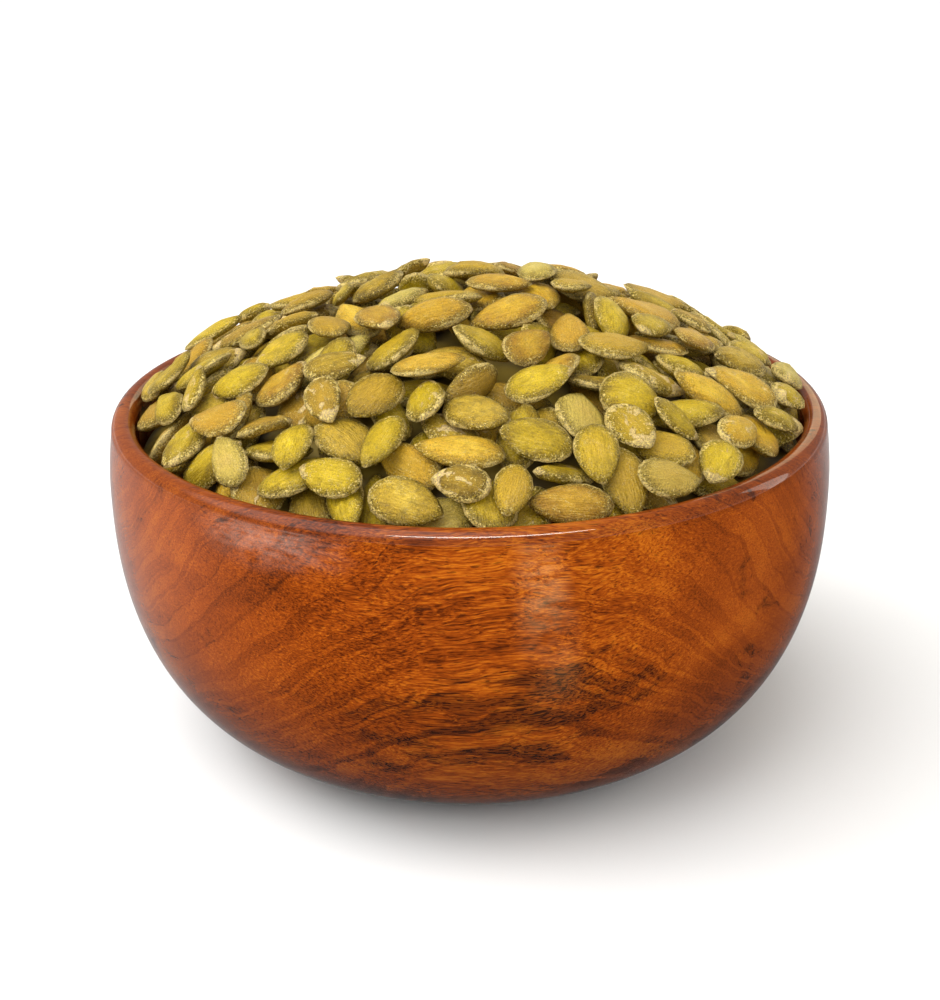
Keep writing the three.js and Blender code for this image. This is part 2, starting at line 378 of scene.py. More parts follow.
PITH = (-12 * MM, 78 * MM)  # where the middle of the log runs, across Y and up
RINGS_PER_METRE = 300
LOG_TAPER = 0.05  # how much the rings close in along it
GRAIN_BEND = 12 * MM  # how far clouds of noise bend the grain
FIBRES_FADE = (10 * MM, 45 * MM)  # distances from the middle where they begin to fade, and end to
END_GRAIN = (18 * MM, 62 * MM)  # and where end grain begins to show, and shows in full
PAINTED_SHADE_BELOW = (48 * MM, 4 * MM)  # heights where painted shade begins to darken the wood downwards, and is darkest
LIP_SHADE_ABOVE = (63.5 * MM, 66 * MM)  # and where painted shade on the lip, with its thinner lacquer, begins, and is full
HEART = (10 * MM, 33 * MM)  # middle across and up of the dark patch of wood on the front
HEART_REACH = (30 * MM, 12 * MM)
HEART_EDGE = (1.3, 0.3)  # reaches at which the patch ends, and is still full
WOOD_COLOURS = {  # by tone
    0.05: (0.050, 0.0085, 0.0010),
    0.30: (0.135, 0.0225, 0.0018),
    0.50: (0.245, 0.0430, 0.0028),
    0.70: (0.340, 0.0670, 0.0040),
    0.95: (0.510, 0.1320, 0.0070),
}
END_COLOUR = (0.270, 0.058, 0.0090)
DARK_COLOUR = (0.085, 0.0185, 0.0035)
DASH_COLOUR = (0.018, 0.0050, 0.0020)
FLECK_COLOUR = (0.024, 0.0070, 0.0030)


def wood_finish():
    """Lacquered red-brown wood. The pith runs along X above the bowl, so growth rings show on the
    front as nested arches and fibres as short level dashes, and both as dots and arcs on the two
    ends. Colour goes by ring, cloud and fibre, with painted shade that darkens it low down and on
    the lip. The lacquer is smooth over it, and thinner on the lip."""
    finish = Finish("lacquered_wood")
    place = finish.place()
    swirl = finish.noise(finish.scaled(place, (0.6, 1, 1)), 24.0, 4.0, 0.6, output=1)
    swirl = finish.moved(swirl, (-0.5, -0.5, -0.5))
    bent = finish.moved(place, finish.scaled(swirl, (GRAIN_BEND,) * 3))
    x, y, z = finish.axes(bent)
    y = y - PITH[0]
    z = z - PITH[1]
    radius = (y * y + z * z).root() + LOG_TAPER * x
    rings = finish.node(
        "ShaderNodeTexNoise",
        {"noise_dimensions": "1D"},
        {"W": radius, "Scale": RINGS_PER_METRE, "Detail": 2.0, "Roughness": 0.5},
    )
    line = (rings - 0.5).size().step(0.040, 0.0)
    late_wood = 0.60 * line + 0.40 * rings.step(0.47, 0.60)

    clouds = finish.noise(finish.scaled(place, (0.5, 1, 1)), 45.0, 4.0, 0.6, 0.6)
    blotches = finish.noise(finish.scaled(bent, (0.32, 1.1, 1.1)), 125.0, 5.0, 0.66, 0.3)
    fibres = finish.noise(finish.scaled(bent, (1.0, 28.0, 28.0)), 100.0, 4.0, 0.62)
    threads = finish.noise(finish.scaled(bent, (1.0, 10.0, 10.0)), 480.0, 2.0, 0.6)
    pores = finish.noise(finish.scaled(bent, (1.0, 13.0, 13.0)), 300.0, 0.0, 0.5)
    nicks = finish.noise(finish.scaled(bent, (1.0, 9.0, 9.0)), 620.0, 0.0, 0.5)
    flecks = finish.noise(finish.scaled(bent, (0.36, 1.2, 1.2)), 120.0, 6.0, 0.72, 0.3)

    place_x, _, place_z = finish.axes(place)
    ends = place_x.size().step(*END_GRAIN)
    fade = place_x.size().step(*FIBRES_FADE)
    grain = (1.6 * fibres - 0.80) * (1 - 0.60 * fade) + 1.2 * threads - 0.60
    tone = grain + 1.2 * clouds + 0.02 - 0.28 * late_wood
    colour = finish.mix(ends * 0.40, finish.ramp(tone, WOOD_COLOURS), END_COLOUR)
    # painted shade: the wood darkens towards the foot, and its dark patches gather there a little
    low = place_z.step(*PAINTED_SHADE_BELOW)
    heart_x = (place_x - HEART[0]) / HEART_REACH[0]
    heart_z = (place_z - HEART[1]) / HEART_REACH[1]
    heart = (heart_x * heart_x + heart_z * heart_z).root().step(*HEART_EDGE)
    dark = (0.16 * low + 1.5 * blotches + 0.24 * heart + 0.20 * late_wood).step(0.92, 1.18)
    colour = finish.mix(dark * 0.66, colour, DARK_COLOUR)
    # painted shade on the lip; the same mask also thins the lacquer there
    top = place_z.step(*LIP_SHADE_ABOVE)
    # painted shade: darker low down and on the lip
    colour = finish.scaled(colour, finish.spread(0.96 - 0.50 * low - 0.26 * top))
    dashes = (pores + 0.13 * dark).step(0.70, 0.74) + (nicks + 0.10 * dark).step(0.72, 0.76)
    dashes = dashes.clipped() * (0.60 + 0.40 * dark) * (1 - 0.4 * ends)
    colour = finish.mix(dashes * 0.9, colour, DASH_COLOUR)
    colour = finish.mix(flecks.step(0.63, 0.69) * 0.75, colour, FLECK_COLOUR)

    smears = finish.noise(place, 38.0, 4.0, 0.6)
    relief = fibres * 0.6 + threads * 0.4
    normal = finish.bumped(relief, 0.04 * MM, 0.25)
    normal = finish.bumped(finish.noise(place, 70.0, 2.0, 0.5), 0.4 * MM, 0.10, under=normal)
    return finish.shaded(
        Base_Color=colour,
        Roughness=0.45 + 0.10 * smears,
        Normal=normal,
        IOR=1.06,
        Coat_Weight=1 - 0.45 * top,
        Coat_Roughness=0.05,
        Coat_IOR=1.42,
    )


def make_bowl():
    """The turned bowl, smooth all round."""
    points, faces = turned(bowl_profile(), BOWL_SIDES)
    bowl = piece("turned_bowl", points, faces, wood_finish())
    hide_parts("bowl")


# --- the heap ---


def heap_height(x, y):
    """The heap's outline above (x, y): a dome by a power of one minus the radius squared, leaning
    a little, with humps and hollows by sines that fade out towards the wall, where it swells by a
    high power of the radius."""
    share = np.minimum(np.hypot(x, y) / HEAP_RADIUS, 1)
    dome = HEAP_RISE * (1 - share**2) ** HEAP_POWER
    long, wide, slant = HUMP_LENGTHS
    humps = np.sin(x / long + HUMP_PHASES[0]) * np.cos(y / wide + HUMP_PHASES[1])
    humps = humps + SLANT_SHARE * np.sin((x - y) / slant)
    edge = HEAP_EDGE_HEIGHT + RIM_SWELL * share**RIM_SWELL_POWER
    return edge + dome + HEAP_LEAN * x + HEAP_UNEVEN * humps * (1 - share**4)


def lens(reach):
    """Share of a seed's half thickness at a reach from its middle (0) to its edge (1)."""
    return (1 - reach ** LENS_POWERS[0]) ** LENS_POWERS[1]


class HeapSurface:
    """The height of the heap so far, on a square grid. Seeds may rest on the inner edge of the
    lip, and past that it is so high that nothing comes to rest there."""

    def __init__(self):
        self.reach = BELLY_RADIUS
        self.side = int(round(2 * self.reach / CELL)) + 1
        line = np.linspace(-self.reach, self.reach, self.side)
        self.x, self.y = np.meshgrid(line, line, indexing="ij")
        self.outline = heap_height(self.x, self.y)
        radius = np.hypot(self.x, self.y)
        lip_share = (radius - LIP_OUTER_RADIUS + LIP_WIDTH / 2) / (LIP_WIDTH / 2)
        lip = RIM_HEIGHT - LIP_RISE + LIP_RISE * np.sqrt(np.clip(1 - lip_share**2, 0, 1))
        self.height = np.where(radius <= HEAP_RADIUS, self.outline - BED_DEPTH, lip)
        self.height[radius > HEAP_RADIUS + LIP_OVERLAP] = BLOCKED
        self.spent = np.zeros_like(radius, bool)

    def cells(self, x, y):
        """Grid numbers of the cells that hold (x, y)."""
        column = np.clip(np.rint((x + self.reach) / CELL).astype(int), 0, self.side - 1)
        row = np.clip(np.rint((y + self.reach) / CELL).astype(int), 0, self.side - 1)
        return column, row

    def window(self, x, y, reach):
        """The part of the grid within reach of (x, y)."""
        ends = np.array([-reach, reach])
        (low, high), (left, right) = self.cells(x + ends, y + ends)
        return slice(low, high + 1), slice(left, right + 1)

    def lowest_spot(self, innermost):
        """Of several random spots outside a radius, the one that lies deepest below the outline."""
        outermost = HEAP_RADIUS - WALL_REACH
        share = random.random(SPOTS_TRIED)
        radius = np.sqrt(innermost**2 + (outermost**2 - innermost**2) * share)
        heading = 2 * np.pi * random.random(SPOTS_TRIED)
        x, y = radius * np.cos(heading), radius * np.sin(heading)
        cells = self.cells(x, y)
        depth = np.where(self.spent[cells], -1.0, self.outline[cells] - self.height[cells])
        best = int(np.argmax(depth))
        return x[best], y[best], depth[best]


def skin_points():
    """Points spread evenly over a ball, on a spiral from pole to pole: the skin of a seed in shares
    of half its length, width and thickness."""
    number = np.arange(SKIN_POINTS) + 0.5
    height = 1 - 2 * number / SKIN_POINTS
    radius = np.sqrt(1 - height**2)
    angle = number * math.pi * (3 - math.sqrt(5))
    return np.stack([radius * np.cos(angle), radius * np.sin(angle), height], -1)


SKIN = skin_points()


def turned_axes(axes, one, other, angle):
    """The axes, given as rows, turned by an angle in the plane of two of them."""
    after = axes.copy()
    cos, sin = math.cos(angle), math.sin(angle)
    after[:, one] = cos * axes[:, one] + sin * axes[:, other]
    after[:, other] = cos * axes[:, other] - sin * axes[:, one]
    return after


def resting_poses(surface, spot, size, roll, pitch):
    """Several ways for one seed to lie near a spot: for each, its middle, its axes as rows, and
    how far points of its upper side stand above the outline. The seed is turned to a random
    heading, laid on the plane that fits the ground below it best, rolled and pitched off that,
    and lowered until some point of its underside touches."""
    count = POSES_TRIED
    centre = np.array(spot[:2]) + random.uniform(-POSE_SPREAD, POSE_SPREAD, (count, 2))
    heading = random.uniform(0, 2 * np.pi, count)
    flat = SKIN[:, :2] * size[:2] / 2
    cos, sin = np.cos(heading)[:, None], np.sin(heading)[:, None]
    dx = cos * flat[:, 0] - sin * flat[:, 1]
    dy = sin * flat[:, 0] + cos * flat[:, 1]
    cells = surface.cells(centre[:, :1] + dx, centre[:, 1:] + dy)
    ground = surface.height[cells]
    ground = np.where(ground == BLOCKED, surface.outline[cells], ground)
    ground -= ground.mean(1, keepdims=True)
    slope_x = np.clip((ground * dx).sum(1) / (dx**2).sum(1), -STEEPEST, STEEPEST)
    slope_y = np.clip((ground * dy).sum(1) / (dy**2).sum(1), -STEEPEST, STEEPEST)
    up = np.stack([-slope_x, -slope_y, np.ones(count)], 1)
    up /= np.linalg.norm(up, axis=1, keepdims=True)
    ahead = np.stack([np.cos(heading), np.sin(heading), np.zeros(count)], 1)
    along = ahead - up * (ahead * up).sum(1, keepdims=True)
    along /= np.linalg.norm(along, axis=1, keepdims=True)
    across = np.cross(up, along)
    axes = turned_axes(np.stack([along, across, up], 1), 1, 2, roll)
    axes = turned_axes(axes, 0, 2, pitch)
    skin = np.einsum("ms,ksc->kmc", SKIN * (size / 2), axes)
    cells = surface.cells(centre[:, :1] + skin[..., 0], centre[:, 1:] + skin[..., 1])
    height = (surface.height[cells] - skin[..., 2]).max(1)
    above = height[:, None] + skin[..., 2] - surface.outline[cells]
    return np.column_stack([centre, height]), axes, above


def ellipsoid_top(dx, dy, axes, half):
    """Height above its middle of the upper side of a turned ellipsoid at (dx, dy) from the middle,
    very low beside it. A point at height h lies on it where a h^2 + b h + c = 0, with a, b and c
    from the squares of its places along the three axes over the half sizes."""
    flat = (dx[..., None] * axes[:, 0] + dy[..., None] * axes[:, 1]) / half
    rise = axes[:, 2] / half
    a = (rise**2).sum()
    b = 2 * (flat * rise).sum(-1)
    c = (flat**2).sum(-1) - 1
    root = b**2 - 4 * a * c
    return np.where(root > 0, (np.sqrt(np.maximum(root, 0)) - b) / (2 * a), -BLOCKED)


def lay_seed(surface, size, innermost, proud):
    """Lays one seed at the lowest pose near the lowest spot, raises the surface to its upper side,
    and gives its middle and axes, or None where it would stand too high."""
    spot = surface.lowest_spot(innermost)
    if spot[2] < 0:
        return None
    wild = random.random() < WILD_SHARE
    roll = random.normal(0, ROLLS[wild])
    pitch = random.normal(0, PITCHES[wild])
    middles, axes, above = resting_poses(surface, spot, size, roll, pitch)
    score = above.mean(1) + EDGE_WEIGHT * above.max(1)  # low, and not on edge
    best = int(np.argmin(score))
    if above[best].max() > proud:
        if not wild:
            surface.spent[surface.window(spot[0], spot[1], SPENT_REACH)] = True
        return None
    middle = middles[best]
    window = surface.window(middle[0], middle[1], size[0] / 2)
    dx, dy = surface.x[window] - middle[0], surface.y[window] - middle[1]
    top = ellipsoid_top(dx, dy, axes[best], size / 2)
    surface.height[window] = np.maximum(surface.height[window], middle[2] + top)
    return middle, axes[best]


def lay_seeds():
    """Sizes, middles and axes of all the seeds."""
    surface = HeapSurface()
    sizes, middles, turns = [], [], []
    mean = np.array([SEED_LENGTH, SEED_WIDTH, SEED_THICKNESS])
    for tries, innermost, proud, share in LAYING:
        surface.spent = np.hypot(surface.x, surface.y) > HEAP_RADIUS
        for _ in range(tries):
            size = mean * share * np.clip(random.normal(1, SEED_VARIES), *SEED_LIMITS)
            laid = lay_seed(surface, size, innermost, proud)
            if laid is not None:
                sizes.append(size)
                middles.append(laid[0])
                turns.append(laid[1])
    return np.array(sizes), np.array(middles), np.array(turns)


def unit_seed():
    """Points of a seed whose half length, width and thickness are 1: its rings and its two poles.
    The outline is an egg: x by cosine, and half the width by a power of (1 + x) times a higher
    power of (1 - x), so the end at +x is pointed. Thickness falls from the middle by the lens
    curve."""
    angle = np.arange(SEED_SIDES) * (2 * np.pi / SEED_SIDES)
    x = np.cos(angle)
    width = (1 + x) ** EGG_POWERS[0] * np.clip(1 - x, 0, None) ** EGG_POWERS[1]
    y = np.sign(np.sin(angle)) * width / width.max()
    rings = np.array([(reach, side * lens(reach)) for reach, side in SEED_RINGS])
    reach, height = rings[:, :1], rings[:, 1:]
    unit = np.stack(np.broadcast_arrays(reach * x, reach * y, height), -1).reshape(-1, 3)
    return np.concatenate([unit, [[0, 0, 1], [0, 0, -1]]])


def seed_shapes(sizes, unit):
    """Local points of every seed, seeds by points by 3: the unit seed at its size, each with its
    own wavy outline, lumps, hollow, bend along and across, and twist."""
    count = len(sizes)
    wavy = random.normal(0, 1, (count, SEED_SIDES))
    wavy = (wavy + np.roll(wavy, 1, 1)) / 2
    wavy = np.repeat(wavy[:, None, :], len(SEED_RINGS), 1).reshape(count, -1)
    wavy = np.pad(wavy, ((0, 0), (0, 2)))
    shape = np.repeat(unit[None], count, 0)
    shape[..., :2] *= 1 + WAVINESS * wavy[..., None]
    lumps = random.normal(0, LUMPINESS, shape.shape[:2])
    hollow = random.choice(HOLLOWS, count)[:, None]
    middle = np.exp(-((np.hypot(unit[:, 0], unit[:, 1]) / HOLLOW_REACH) ** 2))
    shape[..., 2] *= 1 + lumps - hollow * middle
    shape = shape * (sizes / 2)[:, None, :]
    u, v = unit[:, 0], unit[:, 1]
    bend = random.normal(0, BEND, count)[:, None]
    cup = random.normal(0, CUP, count)[:, None]
    shape[..., 2] += bend * (u**2 - BEND_LEVEL) + cup * (v**2 - BEND_LEVEL)
    twist = random.normal(0, TWIST, count)[:, None] * u
    turned_y = shape[..., 1] * np.cos(twist) - shape[..., 2] * np.sin(twist)
    turned_z = shape[..., 1] * np.sin(twist) + shape[..., 2] * np.cos(twist)
    shape[..., 1], shape[..., 2] = turned_y, turned_z
    return shape


def seed_faces(count):
    """Faces of every seed: quads between its rings, and a fan to each pole."""
    rings = len(SEED_RINGS)
    top, bottom = rings * SEED_SIDES, rings * SEED_SIDES + 1
    here = np.arange(SEED_SIDES)
    after = (here + 1) % SEED_SIDES
    quads = band_faces(rings, SEED_SIDES)[:, ::-1]
    last = (rings - 1) * SEED_SIDES
    fans = np.concatenate(
        [
            np.stack([here, after, np.full(SEED_SIDES, top)], -1),
            np.stack([last + after, last + here, np.full(SEED_SIDES, bottom)], -1),
        ]
    )
    start = np.arange(count)[:, None, None] * (bottom + 1)
    faces = (quads[None] + start).reshape(-1, 4).tolist()
    return faces + (fans[None] + start).reshape(-1, 3).tolist()


MOTTLE_COLOUR = (0.085, 0.062, 0.010)
TOAST_COLOUR = (0.35, 0.190, 0.016)
MARGIN_AND_SHADE_COLOUR = (0.110, 0.076, 0.007)  # of the dark band inside a seed's edge: the skin's darker margin, with painted shade where the edge turns from the light
RIM_COLOUR = (0.60, 0.45, 0.16)  # and of the pale line along it
KERNEL_COLOUR = (0.62, 0.45, 0.21)
SCRATCH_COLOUR = (0.60, 0.50, 0.24)
FINE_DUST_COLOUR = (0.58, 0.41, 0.06)
DUST_COLOUR = (0.86, 0.66, 0.21)
DRAW_SHIFTS = (31, 17, 23)  # how far apart the draws set two seeds in the noise


def seed_finish(name, palette, dull, chips):
    """A roasted seed's skin. palette is (shade, body, glow) colours; dull is how dark and speckled
    it is, chips how much of the pale kernel shows at the tip and in torn spots. It reads each
    point's place on its seed (along, across, face) and three draws that hold for a whole seed."""
    finish = Finish(name)
    spot = finish.node("ShaderNodeAttribute", {"attribute_name": "place"}, output=1)
    along, across, _ = finish.axes(spot)
    draws = finish.node("ShaderNodeAttribute", {"attribute_name": "draw"}, output=1)
    first, second, third = finish.axes(draws)
    place = finish.place()
    reach = (along * along + across * across).root()
    own = finish.moved(finish.scaled(spot, (1.0, 1.0, 0.4)), finish.scaled(draws, DRAW_SHIFTS))

    patches = finish.noise(own, 1.7, 3.0, 0.6, 0.4)
    mottle = finish.noise(place, 620.0, 5.0, 0.72)
    wrinkles = finish.noise(finish.scaled(own, (1.2, 5.0, 1.0)), 2.2, 3.0, 0.6, 0.8)
    specks = finish.noise(place, 2500.0, 2.0, 0.6)
    frost = finish.noise(place, 3600.0, 1.0, 0.6)
    scratches = (finish.noise(own, 3.2, 3.0, 0.6, 1.5) - 0.5).size().step(0.012, 0.002)

    shade, body, glow = palette
    # the skin's own lighter and darker patches; the reach term makes each seed's middle lighter and
    # its edge darker, partly the skin's own gradient and partly painted sheen and painted shade
    bright = 0.90 * patches + 0.34 * first + 0.25 * wrinkles - 0.40 * reach - 0.11
    colour = finish.mix(bright.step(0.10, 0.50), shade, body)
    colour = finish.mix(bright.step(0.42, 0.95), colour, glow)
    colour = finish.mix(mottle.step(0.46, 0.66) * dull, colour, MOTTLE_COLOUR)
    toast = second + 0.5 * patches - 0.3 * reach
    colour = finish.mix(toast.step(0.55, 1.10) * 0.65, colour, TOAST_COLOUR)

    # the skin's darker margin and painted shade towards the seed's edge
    margin_and_shade = reach.step(0.66, 0.93)
    colour = finish.mix(margin_and_shade * 0.56, colour, MARGIN_AND_SHADE_COLOUR)
    rim = reach.step(0.915, 0.97) * mottle.step(0.40, 0.52)
    colour = finish.mix(rim * 0.75, colour, RIM_COLOUR)
    worn = (third - 0.50).larger(0.0)
    tip = (along + 0.60 * patches + 0.9 * worn).step(1.27, 1.33)
    heel = (0.7 * patches + 0.5 * worn - along).step(1.37, 1.42)
    torn = (patches + 0.40 * worn + 0.10 * mottle).step(0.80, 0.82)
    pale = ((tip + heel + torn) * chips).clipped()
    colour = finish.mix(pale * 0.85, colour, KERNEL_COLOUR)
    colour = finish.mix(scratches * patches.step(0.45, 0.6) * 0.45, colour, SCRATCH_COLOUR)
    dusty = 0.10 * reach.step(0.60, 0.95) + 0.20 * (patches - 0.5) + 0.14 * worn + 0.04 * pale
    dust = (specks + dusty).step(0.66, 0.74)
    fine_dust = (frost + dusty).step(0.62, 0.76)
    grit = 0.45 + 0.75 * reach.step(0.45, 0.90)
    colour = finish.scaled(colour, finish.spread(1.16 + 2.6 * grit * (frost - 0.5)))
    colour = finish.mix(fine_dust * grit * 0.40, colour, FINE_DUST_COLOUR)
    colour = finish.mix(dust * 0.85, colour, DUST_COLOUR)

    normal = finish.bumped(wrinkles, 0.8 * MM, 0.7)
    relief = mottle + 0.5 * dust + 0.3 * fine_dust + pale
    normal = finish.bumped(relief, 0.3 * MM, 1.0, under=normal)
    return finish.shaded(
        Base_Color=colour,
        Roughness=0.30 + 0.22 * mottle + 0.2 * pale + 0.2 * dust,
        Normal=normal,
        IOR=1.30,
    )


SEED_KINDS = {  # share of the seeds, and what seed_finish takes
    "green_seeds": {
        "share": 0.61,
        "palette": ((0.196, 0.124, 0.003), (0.390, 0.264, 0.005), (0.590, 0.415, 0.016)),
        "dull": 0.30,
        "chips": 0.7,
    },
    "toasted_seeds": {
        "share": 0.21,
        "palette": ((0.260, 0.132, 0.008), (0.440, 0.255, 0.012), (0.620, 0.405, 0.030)),
        "dull": 0.28,
        "chips": 0.8,
    },
    "pale_seeds": {
        "share": 0.05,
        "palette": ((0.260, 0.180, 0.024), (0.440, 0.335, 0.062), (0.620, 0.500, 0.140)),
        "dull": 0.15,
        "chips": 0.6,
    },
    "chipped_seeds": {
        "share": 0.13,
        "palette": ((0.170, 0.102, 0.007), (0.340, 0.216, 0.013), (0.540, 0.365, 0.036)),
        "dull": 0.5,
        "chips": 1.0,
    },
}


def add_attribute(mesh, name, values):
    """A vector for each point of the mesh."""
    layer = mesh.attributes.new(name, "FLOAT_VECTOR", "POINT")
    layer.data.foreach_set("vector", values.astype(np.float32).ravel())


def make_seeds(sizes, middles, turns):
    """The seeds as one joined mesh for each kind, with each point's place on its seed and each
    seed's draws as attributes."""
    unit = unit_seed()
    points = np.einsum("nps,nsc->npc", seed_shapes(sizes, unit), turns) + middles[:, None, :]
    draws = random.random((len(sizes), 3))
    pick = random.random(len(sizes))
    made = []
    start = 0.0
    for name, kind in SEED_KINDS.items():
        chosen = (pick >= start) & (pick < start + kind["share"])
        start += kind["share"]
        count = int(chosen.sum())
        skin = seed_finish(name + "_skin", kind["palette"], kind["dull"], kind["chips"])
        seeds = piece(name, points[chosen], seed_faces(count), skin)
        add_attribute(seeds.data, "place", np.tile(unit, (count, 1)))
        add_attribute(seeds.data, "draw", np.repeat(draws[chosen], len(unit), 0))
        made.append(seeds)
    return made


SWELL_AND_SHADE_COLOURS = ((0.320, 0.215, 0.020), (0.085, 0.052, 0.007))  # on the swells, and between them, where painted shade darkens the olive
BED_MOTTLE_COLOUR = (0.070, 0.050, 0.010)


def bed_finish():
    """The seeds deep in the heap, seen only in the gaps: olive, with painted shade that darkens it
    between seed-sized swells.
    """
    finish = Finish("deep_seeds")
    place = finish.place()
    swells = finish.node(
        "ShaderNodeTexVoronoi",
        {"feature": "SMOOTH_F1"},
        {"Vector": finish.scaled(place, (1, 1, 2.2)), "Scale": 120.0, "Smoothness": 0.4},
    )
    mottle = finish.noise(place, 420.0, 4.0, 0.65)
    # painted shade: darker between the swells
    colour = finish.mix(swells.step(0.25, 0.75), *SWELL_AND_SHADE_COLOURS)
    colour = finish.mix(mottle * 0.4, colour, BED_MOTTLE_COLOUR)
    normal = finish.bumped(1 - swells, 1.5 * MM, 0.8)
    return finish.shaded(Base_Color=colour, Roughness=0.6 + 0.2 * mottle, Normal=normal)


def make_bed():
    """The body of the heap under the seeds: it fills the bowl to a gap from the wood, and its top
    follows the outline at a depth."""
    inside = inside_profile(np.linspace(0, 1, BED_POINTS[0]))
    below = np.column_stack([np.minimum(inside[:, 0], HEAP_RADIUS) - GAP, inside[:, 1] + GAP])
    a = np.linspace(0, np.pi / 2, BED_POINTS[1])
    edge = HEAP_RADIUS - GAP
    top = np.stack([edge * np.cos(a), np.full(len(a), RIM_HEIGHT)], -1)[:-1]
    profile = np.concatenate([[[0, FLOOR + GAP]], below, top, [[0, RIM_HEIGHT]]])
    points, faces = turned(profile, BED_SIDES)
    high = points[:, 2] > RIM_HEIGHT - 1e-6
    x, y = points[high, 0], points[high, 1]
    points[high, 2] = heap_height(x, y) - BED_DEPTH
    return piece("seed_bed", points, faces, bed_finish())


def make_heap():
    """The bed and the seeds on it, in place of the solid heap."""
    for made in [make_bed(), *make_seeds(*lay_seeds())]:
        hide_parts("pumpkin_seeds")


# --- the studio ---

CAMERA_DISTANCE = 354.7 * MM  # from the middle of the bowl's height
CAMERA_ELEVATION = 23.8
CAMERA_PITCH = 22.1
CAMERA_ROLL = -0.45
LENS = 63.0
SENSOR = 36.0
SOFTBOX_WAY = (-0.46, -0.22, 0.86)  # from the bowl towards the middle of the overhead light
SOFTBOX_EDGE = (0.70, 0.92)  # cosines from that way at which its light begins and is full
SOFTBOX_LIGHT = 3.60
DIM_LIGHT = 0.48  # of the rest of the surroundings
FLOOR_REACH = 3.0  # half the side of the set's floor
FLOOR_COLOUR = (0.80, 0.80, 0.79, 1)
SHADE_SIDE = 0.9  # half the side of the glare shade
SHADE_HEIGHT = 1 * MM
SHADE_REACH = (0.85, 0.50)  # distance at which it ends, and is still full
SHADE_LIGHT = (0.02, 0.5, 0.05)  # everywhere, more behind, and more close to the bowl
NEAR_REACH = (0.11, 0.06)  # distance at which the glow close to the bowl ends, and is full
BEHIND_EDGE = (-0.08, 0.10)  # Y less half X at which it begins to pale behind, and is pale
STRIPE_SLOPE = 0.33  # how far right per distance in front its bright stripe runs
STRIPE_WIDTH = 0.18
STRIPE_BEGIN = (0.08, 0.20)  # distance at which it begins, and is full
STRIPE_END = (0.65, 0.30)  # and at which it ends, and is still full
STRIPE_LIGHT = (6.6, 4.6, 2.2)
PATCH = (-0.34, -0.23)  # middle of the bright patch on its left
PATCH_REACH = (0.20, 0.03)  # distance from there at which it ends, and is still full
PATCH_LIGHT = (6.0, 5.2, 4.6)
PANEL_AIM = (0, 0, 0.06)
PANELS = (  # name, place, width and height, watts, colour, and if matt things and gloss show it
    ("lip_light", (0.07, -0.52, 0.74), (0.80, 0.12), 10.0, (1, 0.95, 0.86), (False, True)),
    ("lip_glow", (0.34, 0.95, 0.45), (0.60, 0.50), 1.6, (1, 0.85, 0.50), (False, True)),
    ("left_fill", (-0.64, 0.05, 0.58), (0.6, 0.5), 2.8, (1, 1, 1), (True, False)),
    ("front_fill", (0.20, -0.80, 0.50), (0.9, 0.6), 3.0, (1, 1, 1), (True, False)),
    ("right_strip", (0.75, 0.15, 0.25), (0.2, 0.6), 1.4, (1, 0.93, 0.84), (True, True)),
)


def place_camera():
    """The photograph's viewpoint: straight in front, above the rim, looking down at the bowl."""
    data = bpy.data.cameras.new("camera")
    data.lens = LENS
    data.sensor_width = SENSOR
    data.clip_start = 0.01
    camera = bpy.data.objects.new("camera", data)
    bpy.context.scene.collection.objects.link(camera)
    rise = math.radians(CAMERA_ELEVATION)
    away = CAMERA_DISTANCE * math.cos(rise)
    up = CAMERA_DISTANCE * math.sin(rise) + RIM_HEIGHT / 2
    tilt = Matrix.Rotation(math.radians(90 - CAMERA_PITCH), 4, "X")
    roll = Matrix.Rotation(math.radians(CAMERA_ROLL), 4, "Z")
    camera.matrix_world = Matrix.Translation((0, -away, up)) @ tilt @ roll
    bpy.context.scene.camera = camera


def add_panel(name, place, size, power, colour, shines):
    """Adds a soft oval panel light that faces the bowl, with its second side upright. shines says
    if it lights matt things and if gloss shows it."""
    data = bpy.data.lights.new(name, "AREA")
    data.shape = "ELLIPSE"
    data.size, data.size_y = size
    data.energy = power
    data.color = colour
    light = bpy.data.objects.new(name, data)
    bpy.context.scene.collection.objects.link(light)
    back = (Vector(place) - Vector(PANEL_AIM)).normalized()
    across = Vector((0, 0, 1)).cross(back).normalized()
    turn = Matrix((across, back.cross(across), back)).transposed().to_4x4()
    light.matrix_world = Matrix.Translation(place) @ turn
    light.visible_camera = False
    light.visible_diffuse, light.visible_glossy = shines


def add_sheet(name, reach, height, material):
    """A flat level square sheet of the set, as far as reach from the middle each way."""
    corners = [(-reach, -reach), (reach, -reach), (reach, reach), (-reach, reach)]
    mesh = bpy.data.meshes.new(name)
    mesh.from_pydata([(*corner, height) for corner in corners], [], [(0, 1, 2, 3)])
    mesh.materials.append(material)
    sheet = bpy.data.objects.new(name, mesh)
    bpy.context.scene.collection.objects.link(sheet)
    return sheet


def make_floor():
    """A pale floor that runs out of view."""
    material = Finish("pale_floor").shaded(Base_Color=FLOOR_COLOUR, Roughness=0.6)
    add_sheet("pale_floor", FLOOR_REACH, 0, material)


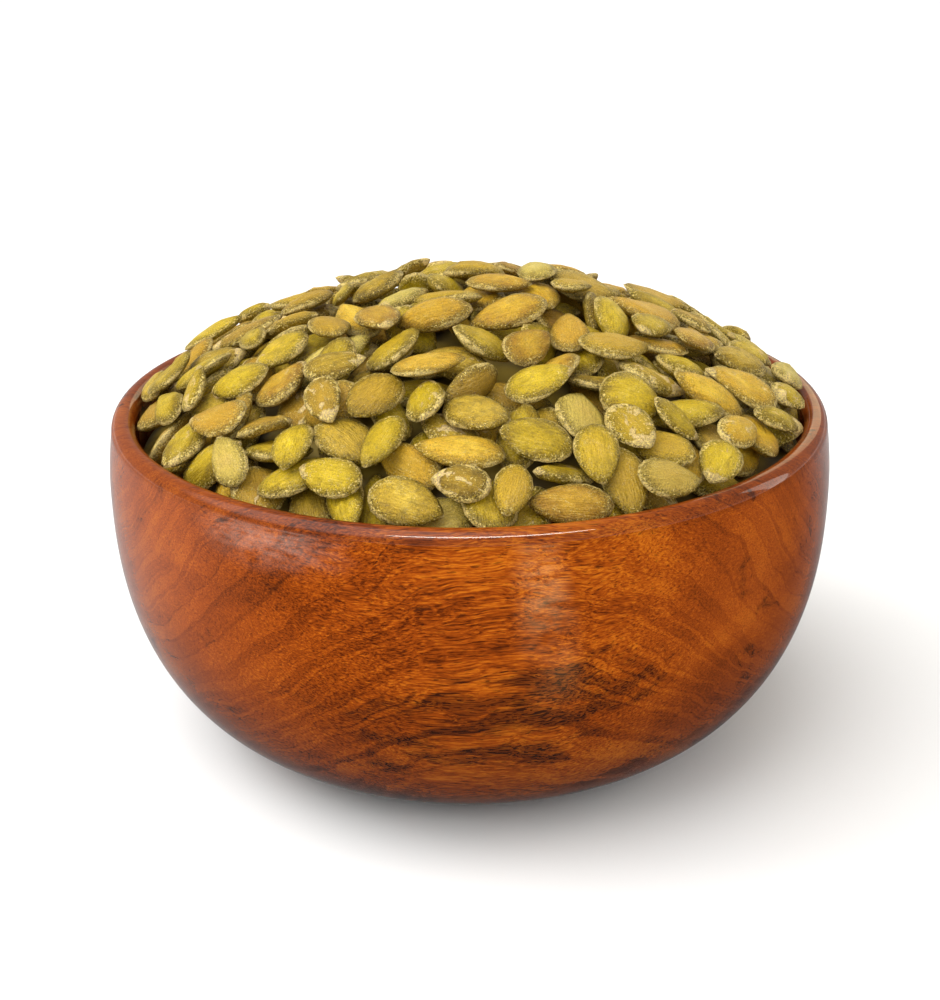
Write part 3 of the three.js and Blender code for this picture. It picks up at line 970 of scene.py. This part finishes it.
def make_glare_shade():
    """A dark sheet round the bowl that is seen only in the lacquer, where it keeps the floor's glare
    off the wood. It ends softly, and shines in a stripe to the right in front, in a patch on the
    left, and a little close to the bowl."""
    finish = Finish("glare_shade")
    x, y, _ = finish.axes(finish.place())
    reach = (x * x + y * y).root()
    shade = reach.step(*SHADE_REACH)
    stripe = (x / y + STRIPE_SLOPE).size().step(STRIPE_WIDTH, 0) * y.step(0, -0.05)
    stripe = stripe * reach.step(*STRIPE_BEGIN) * reach.step(*STRIPE_END)
    patch_x, patch_y = x - PATCH[0], y - PATCH[1]
    patch = (patch_x * patch_x + patch_y * patch_y).root().step(*PATCH_REACH)
    ripples = finish.noise(finish.place(), 26.0, 3.0, 0.6).step(0.30, 0.62)
    stripe, patch = stripe * ripples, patch * ripples
    behind = (y - 0.5 * x).step(*BEHIND_EDGE)
    everywhere, back, near = SHADE_LIGHT
    base = everywhere + back * behind + near * reach.step(*NEAR_REACH)
    glow = finish.moved(finish.spread(base), finish.scaled(finish.spread(stripe), STRIPE_LIGHT))
    glow = finish.moved(glow, finish.scaled(finish.spread(patch), PATCH_LIGHT))
    shine = finish.node("ShaderNodeEmission", None, {"Color": glow})
    clear = finish.node("ShaderNodeBsdfTransparent")
    surface = finish.node("ShaderNodeMixShader", None, {0: shade, 1: clear, 2: shine})
    material = finish.ended(surface)
    material.cycles.emission_sampling = "NONE"
    sheet = add_sheet("glare_shade", SHADE_SIDE, SHADE_HEIGHT, material)
    sheet.visible_camera = False
    sheet.visible_diffuse = False
    sheet.visible_shadow = False
    sheet.visible_transmission = False


def light_studio():
    """Soft studio light: surroundings that are bright round one direction, high in front on the
    left, and dim elsewhere, and the panels: two that only gloss shows, for the lip, a wide one in
    front and a warm one behind on the right; fill lights on the left and in front that the
    lacquer doesn't show; and a strip on the right."""
    world = bpy.data.worlds.new("surroundings")
    world.use_nodes = True
    nodes, links = world.node_tree.nodes, world.node_tree.links
    direction = nodes.new("ShaderNodeTexCoord")
    towards = nodes.new("ShaderNodeVectorMath")
    towards.operation = "DOT_PRODUCT"
    towards.inputs[1].default_value = Vector(SOFTBOX_WAY).normalized()
    brightness = nodes.new("ShaderNodeMapRange")
    brightness.interpolation_type = "SMOOTHSTEP"
    for socket, number in zip(brightness.inputs[1:5], (*SOFTBOX_EDGE, DIM_LIGHT, SOFTBOX_LIGHT)):
        socket.default_value = number
    background = nodes["Background"]
    background.inputs["Color"].default_value = (1, 1, 1, 1)
    links.new(direction.outputs["Generated"], towards.inputs[0])
    links.new(towards.outputs["Value"], brightness.inputs["Value"])
    links.new(brightness.outputs[0], background.inputs["Strength"])
    bpy.context.scene.world = world
    for panel in PANELS:
        add_panel(*panel)
    view = bpy.context.scene.view_settings
    view.view_transform = "Standard"
    view.look = "None"


make_bowl()
make_heap()
place_camera()
make_floor()
make_glare_shade()
light_studio()
